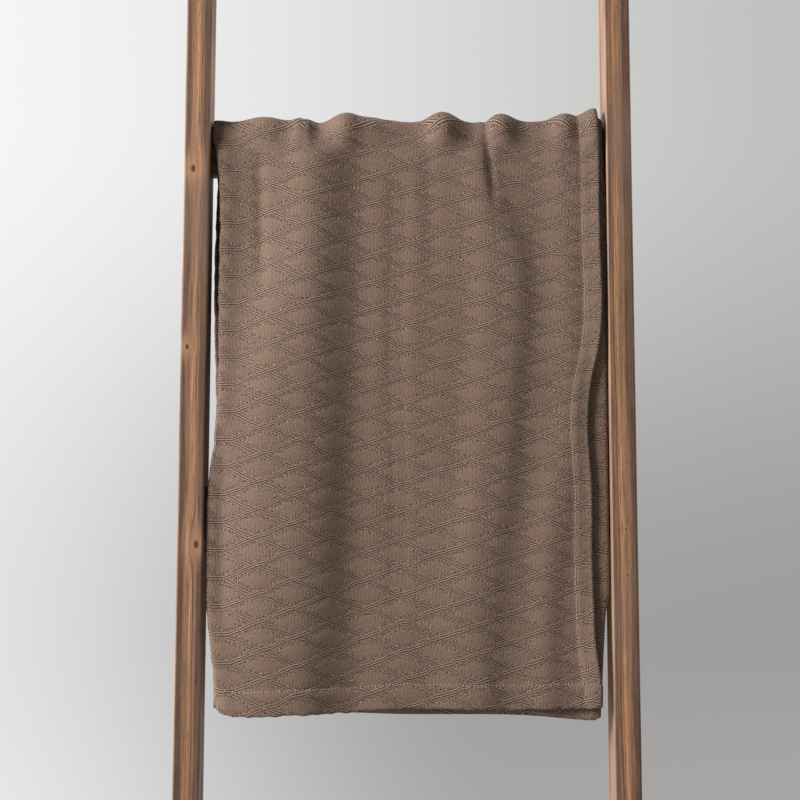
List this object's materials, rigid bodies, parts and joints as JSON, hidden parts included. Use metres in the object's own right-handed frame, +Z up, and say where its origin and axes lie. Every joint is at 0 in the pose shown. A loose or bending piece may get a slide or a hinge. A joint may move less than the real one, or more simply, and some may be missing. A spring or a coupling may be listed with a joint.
{
  "type": "blanket ladder with folded throw",
  "caption": "Leaning wooden blanket ladder with flat rungs and a folded woven cotton throw draped over one of them.",
  "frame": {"origin": "on the floor, under the middle of the whole object's bounding box", "axes": "+Z up; +X across the ladder, to the right as seen from the front; +Y back towards the wall that the ladder leans on"},
  "size_m": [0.56, 0.3388, 1.8132],
  "materials": {
    "stained_pine": "brown stained, open-grained, satin to matt",
    "plug_wood": "stained end of a face-grain plug, matt",
    "screw_steel": "zinc-plated",
    "pad_rubber": "matt",
    "throw_cotton": "taupe jacquard-woven cotton, matt"
  },
  "bodies": {
    "ladder": {"left_rail": "stained_pine", "right_rail": "stained_pine", "rung_1": "stained_pine", "rung_2": "stained_pine", "rung_3": "stained_pine", "rung_4": "stained_pine", "screw_left_1_lower": "screw_steel", "screw_left_1_upper": "screw_steel", "screw_left_2_lower": "screw_steel", "screw_left_2_upper": "screw_steel", "screw_left_3_lower": "screw_steel", "screw_left_3_upper": "screw_steel", "screw_left_4_lower": "screw_steel", "screw_left_4_upper": "screw_steel", "screw_right_1_lower": "screw_steel", "screw_right_1_upper": "screw_steel", "screw_right_2_lower": "screw_steel", "screw_right_2_upper": "screw_steel", "screw_right_3_lower": "screw_steel", "screw_right_3_upper": "screw_steel", "screw_right_4_lower": "screw_steel", "screw_right_4_upper": "screw_steel", "plug_left_1_lower": "plug_wood", "plug_left_1_upper": "plug_wood", "plug_left_2_lower": "plug_wood", "plug_left_2_upper": "plug_wood", "plug_left_3_lower": "plug_wood", "plug_left_3_upper": "plug_wood", "plug_left_4_lower": "plug_wood", "plug_left_4_upper": "plug_wood", "plug_right_1_lower": "plug_wood", "plug_right_1_upper": "plug_wood", "plug_right_2_lower": "plug_wood", "plug_right_2_upper": "plug_wood", "plug_right_3_lower": "plug_wood", "plug_right_3_upper": "plug_wood", "plug_right_4_lower": "plug_wood", "plug_right_4_upper": "plug_wood", "foot_pad_left": "pad_rubber", "foot_pad_right": "pad_rubber", "wall_bumper_left": "pad_rubber", "wall_bumper_right": "pad_rubber"},
    "throw": {"throw_front_drop": "throw_cotton", "throw_top_fold": "throw_cotton", "throw_back_drop": "throw_cotton"}
  },
  "joints": [
    {"name": "throw_lift", "type": "slide", "parent": "ladder", "child": "throw", "axis": [0, 0, 1], "range_m": [0, 0.8]}
  ]
}
